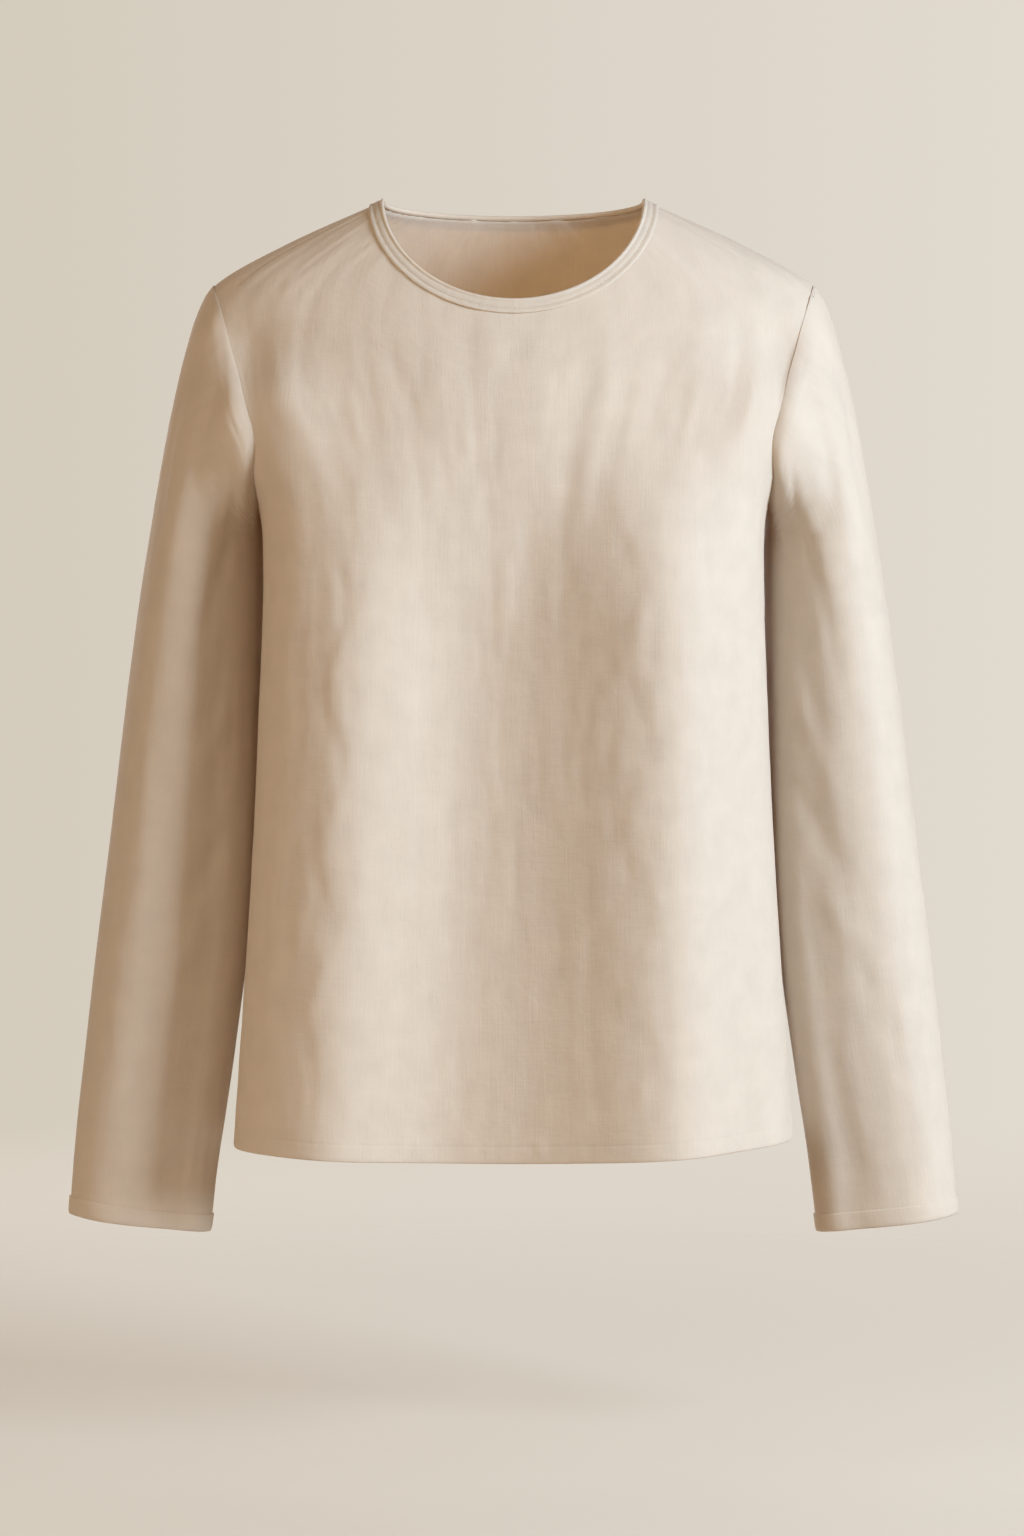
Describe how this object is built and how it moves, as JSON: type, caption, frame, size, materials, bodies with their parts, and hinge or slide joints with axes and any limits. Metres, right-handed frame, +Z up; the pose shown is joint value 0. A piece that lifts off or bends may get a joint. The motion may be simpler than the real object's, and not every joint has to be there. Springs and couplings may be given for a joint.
{
  "type": "linen blouse",
  "caption": "Long-sleeved linen pullover blouse with a round bound neck and set-in sleeves, hollow and filled out as if worn.",
  "frame": {"origin": "midway between the neck ends of the two shoulder seams, where the wearer's shoulders carry the blouse", "axes": "+Z up, the front faces -Y, +X towards the wearer's left sleeve"},
  "size_m": [0.593, 0.2536, 0.6898],
  "materials": {
    "linen": "washed plain-weave linen, matt, natural beige",
    "linen_binding": "the same linen folded double along the neck, matt"
  },
  "bodies": {
    "root": {"front": "linen", "back": "linen", "sleeve_left": "linen", "sleeve_right": "linen", "neck_binding": "linen_binding"}
  },
  "joints": []
}
